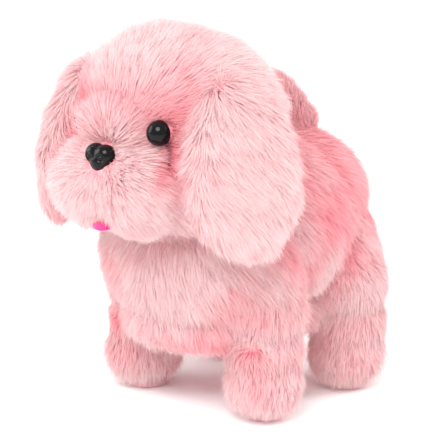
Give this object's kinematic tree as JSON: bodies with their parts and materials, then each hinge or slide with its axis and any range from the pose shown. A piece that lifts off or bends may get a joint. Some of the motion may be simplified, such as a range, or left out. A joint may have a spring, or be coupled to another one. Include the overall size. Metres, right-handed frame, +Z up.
{
  "type": "robot dog toy",
  "caption": "Standing walking puppy toy in long pink plush, with floppy ears, black eyes and nose, swinging legs, a nodding head and a curled tail.",
  "frame": {"origin": "middle of the toy's footprint box, on the floor", "axes": "+Z up, -Y the way the dog faces, +X the dog's own left"},
  "size_m": [0.1246, 0.167, 0.173],
  "materials": {
    "plush": "long pink pile",
    "plush_light": "long pale pink pile",
    "black_gloss": "glossy moulded black",
    "felt": "hot pink felt",
    "housing_plastic": "moulded, satin",
    "gear_plastic": "natural acetal",
    "crank_plastic": "blue acetal",
    "door_plastic": "moulded, satin",
    "switch_plastic": "moulded, fine grain",
    "sole_rubber": "moulded, matt",
    "steel": "bright drawn",
    "spring_steel": "nickel plated",
    "screw_steel": "zinc plated",
    "cell_wrap": "plain printed sleeve",
    "board": "green solder mask",
    "speaker_steel": "painted",
    "wire": "flexible insulation"
  },
  "bodies": {
    "chassis": {"housing_left": "housing_plastic", "housing_right": "housing_plastic", "housing_screws": "screw_steel", "hip_screws": "screw_steel", "gearbox_plate": "housing_plastic", "gear_pins": "steel", "motor": "steel", "battery_tray": "housing_plastic", "battery_cells": "cell_wrap", "battery_springs": "spring_steel", "battery_contacts": "spring_steel", "switch_body": "switch_plastic", "sound_board": "board", "speaker": "speaker_steel", "lead_wires": "wire", "neck_pin": "steel", "body_pelt": "plush"},
    "door": {"battery_door": "door_plastic", "door_screws": "screw_steel"},
    "switch": {"switch_slider": "switch_plastic"},
    "rotor": {"motor_shaft": "steel", "motor_pinion": "gear_plastic"},
    "idler_1": {"idler_1_gear": "gear_plastic"},
    "idler_2": {"idler_2_gear": "gear_plastic"},
    "crank": {"crank_shaft": "steel", "output_gear": "gear_plastic", "timing_gear": "gear_plastic", "crank_disc_left": "crank_plastic", "crank_disc_right": "crank_plastic"},
    "nod_crank": {"nod_gear": "gear_plastic"},
    "bar_left": {"tie_bar_left": "crank_plastic"},
    "bar_right": {"tie_bar_right": "crank_plastic"},
    "head": {"head_frame": "housing_plastic", "head_pelt": "plush", "muzzle_pelt": "plush_light", "ear_left": "plush_light", "ear_right": "plush_light", "eye_left": "black_gloss", "eye_right": "black_gloss", "eye_washers": "gear_plastic", "nose": "black_gloss", "nose_washer": "gear_plastic", "tongue": "felt"},
    "tail": {"tail_core": "housing_plastic", "tail_clip": "steel", "tail_pelt": "plush"},
    "leg_front_left": {"leg_frame_front_left": "housing_plastic", "foot_pad_front_left": "sole_rubber", "leg_pelt_front_left": "plush"},
    "leg_front_right": {"leg_frame_front_right": "housing_plastic", "foot_pad_front_right": "sole_rubber", "leg_pelt_front_right": "plush"},
    "leg_rear_left": {"leg_frame_rear_left": "housing_plastic", "foot_pad_rear_left": "sole_rubber", "leg_pelt_rear_left": "plush"},
    "leg_rear_right": {"leg_frame_rear_right": "housing_plastic", "foot_pad_rear_right": "sole_rubber", "leg_pelt_rear_right": "plush"}
  },
  "joints": [
    {"name": "hip_front_left", "type": "hinge", "parent": "chassis", "child": "leg_front_left", "pos_m": [0.0236, -0.015, 0.048], "axis": [1, 0, 0], "range_deg": [-14.5, 14.5]},
    {"name": "hip_front_right", "type": "hinge", "parent": "chassis", "child": "leg_front_right", "pos_m": [-0.0236, -0.015, 0.048], "axis": [1, 0, 0], "range_deg": [-14.5, 14.5]},
    {"name": "hip_rear_left", "type": "hinge", "parent": "chassis", "child": "leg_rear_left", "pos_m": [0.0236, 0.043, 0.048], "axis": [1, 0, 0], "range_deg": [-14.5, 14.5]},
    {"name": "hip_rear_right", "type": "hinge", "parent": "chassis", "child": "leg_rear_right", "pos_m": [-0.0236, 0.043, 0.048], "axis": [1, 0, 0], "range_deg": [-14.5, 14.5]},
    {"name": "bar_pin_left", "type": "hinge", "parent": "leg_front_left", "child": "bar_left", "pos_m": [0.0275, -0.015, 0.06], "axis": [1, 0, 0], "range_deg": [-14.5, 14.5]},
    {"name": "bar_pin_right", "type": "hinge", "parent": "leg_front_right", "child": "bar_right", "pos_m": [-0.0275, -0.015, 0.06], "axis": [1, 0, 0], "range_deg": [-14.5, 14.5]},
    {"name": "crank_turn", "type": "hinge", "parent": "chassis", "child": "crank", "pos_m": [0, 0.014, 0.06], "axis": [1, 0, 0], "continuous": true},
    {"name": "idler_2_turn", "type": "hinge", "parent": "chassis", "child": "idler_2", "pos_m": [0.0083, 0.00404, 0.06575], "axis": [1, 0, 0], "continuous": true},
    {"name": "idler_1_turn", "type": "hinge", "parent": "chassis", "child": "idler_1", "pos_m": [0.005, 0.00979, 0.07571], "axis": [1, 0, 0], "continuous": true},
    {"name": "motor_turn", "type": "hinge", "parent": "chassis", "child": "rotor", "pos_m": [-0.002, -0.00171, 0.07571], "axis": [1, 0, 0], "continuous": true},
    {"name": "nod_gear_turn", "type": "hinge", "parent": "chassis", "child": "nod_crank", "pos_m": [-0.011, 0.002, 0.06], "axis": [1, 0, 0], "continuous": true},
    {"name": "head_nod", "type": "hinge", "parent": "chassis", "child": "head", "pos_m": [0, -0.028, 0.094], "axis": [1, 0, 0], "range_deg": [-6, 6]},
    {"name": "tail_wag", "type": "hinge", "parent": "chassis", "child": "tail", "pos_m": [0, 0.048, 0.088], "axis": [0, 0, 1], "range_deg": [-22, 22], "stiffness_Nm_per_rad": 0.01},
    {"name": "switch_slide", "type": "slide", "parent": "chassis", "child": "switch", "axis": [1, 0, 0], "range_m": [0, 0.004]},
    {"name": "door_lift_off", "type": "slide", "parent": "chassis", "child": "door", "axis": [0, 0, -1], "range_m": [0, 0.02]}
  ],
  "couplings": [
    {"joint": "hip_rear_left", "follows": "hip_front_left", "ratio": 1},
    {"joint": "hip_front_right", "follows": "hip_front_left", "ratio": -1},
    {"joint": "hip_rear_right", "follows": "hip_front_left", "ratio": -1},
    {"joint": "bar_pin_left", "follows": "hip_front_left", "ratio": -1},
    {"joint": "bar_pin_right", "follows": "hip_front_left", "ratio": 1},
    {"joint": "idler_2_turn", "follows": "crank_turn", "ratio": -3.6},
    {"joint": "idler_1_turn", "follows": "crank_turn", "ratio": 12.96},
    {"joint": "motor_turn", "follows": "crank_turn", "ratio": -46.656},
    {"joint": "nod_gear_turn", "follows": "crank_turn", "ratio": -1}
  ]
}
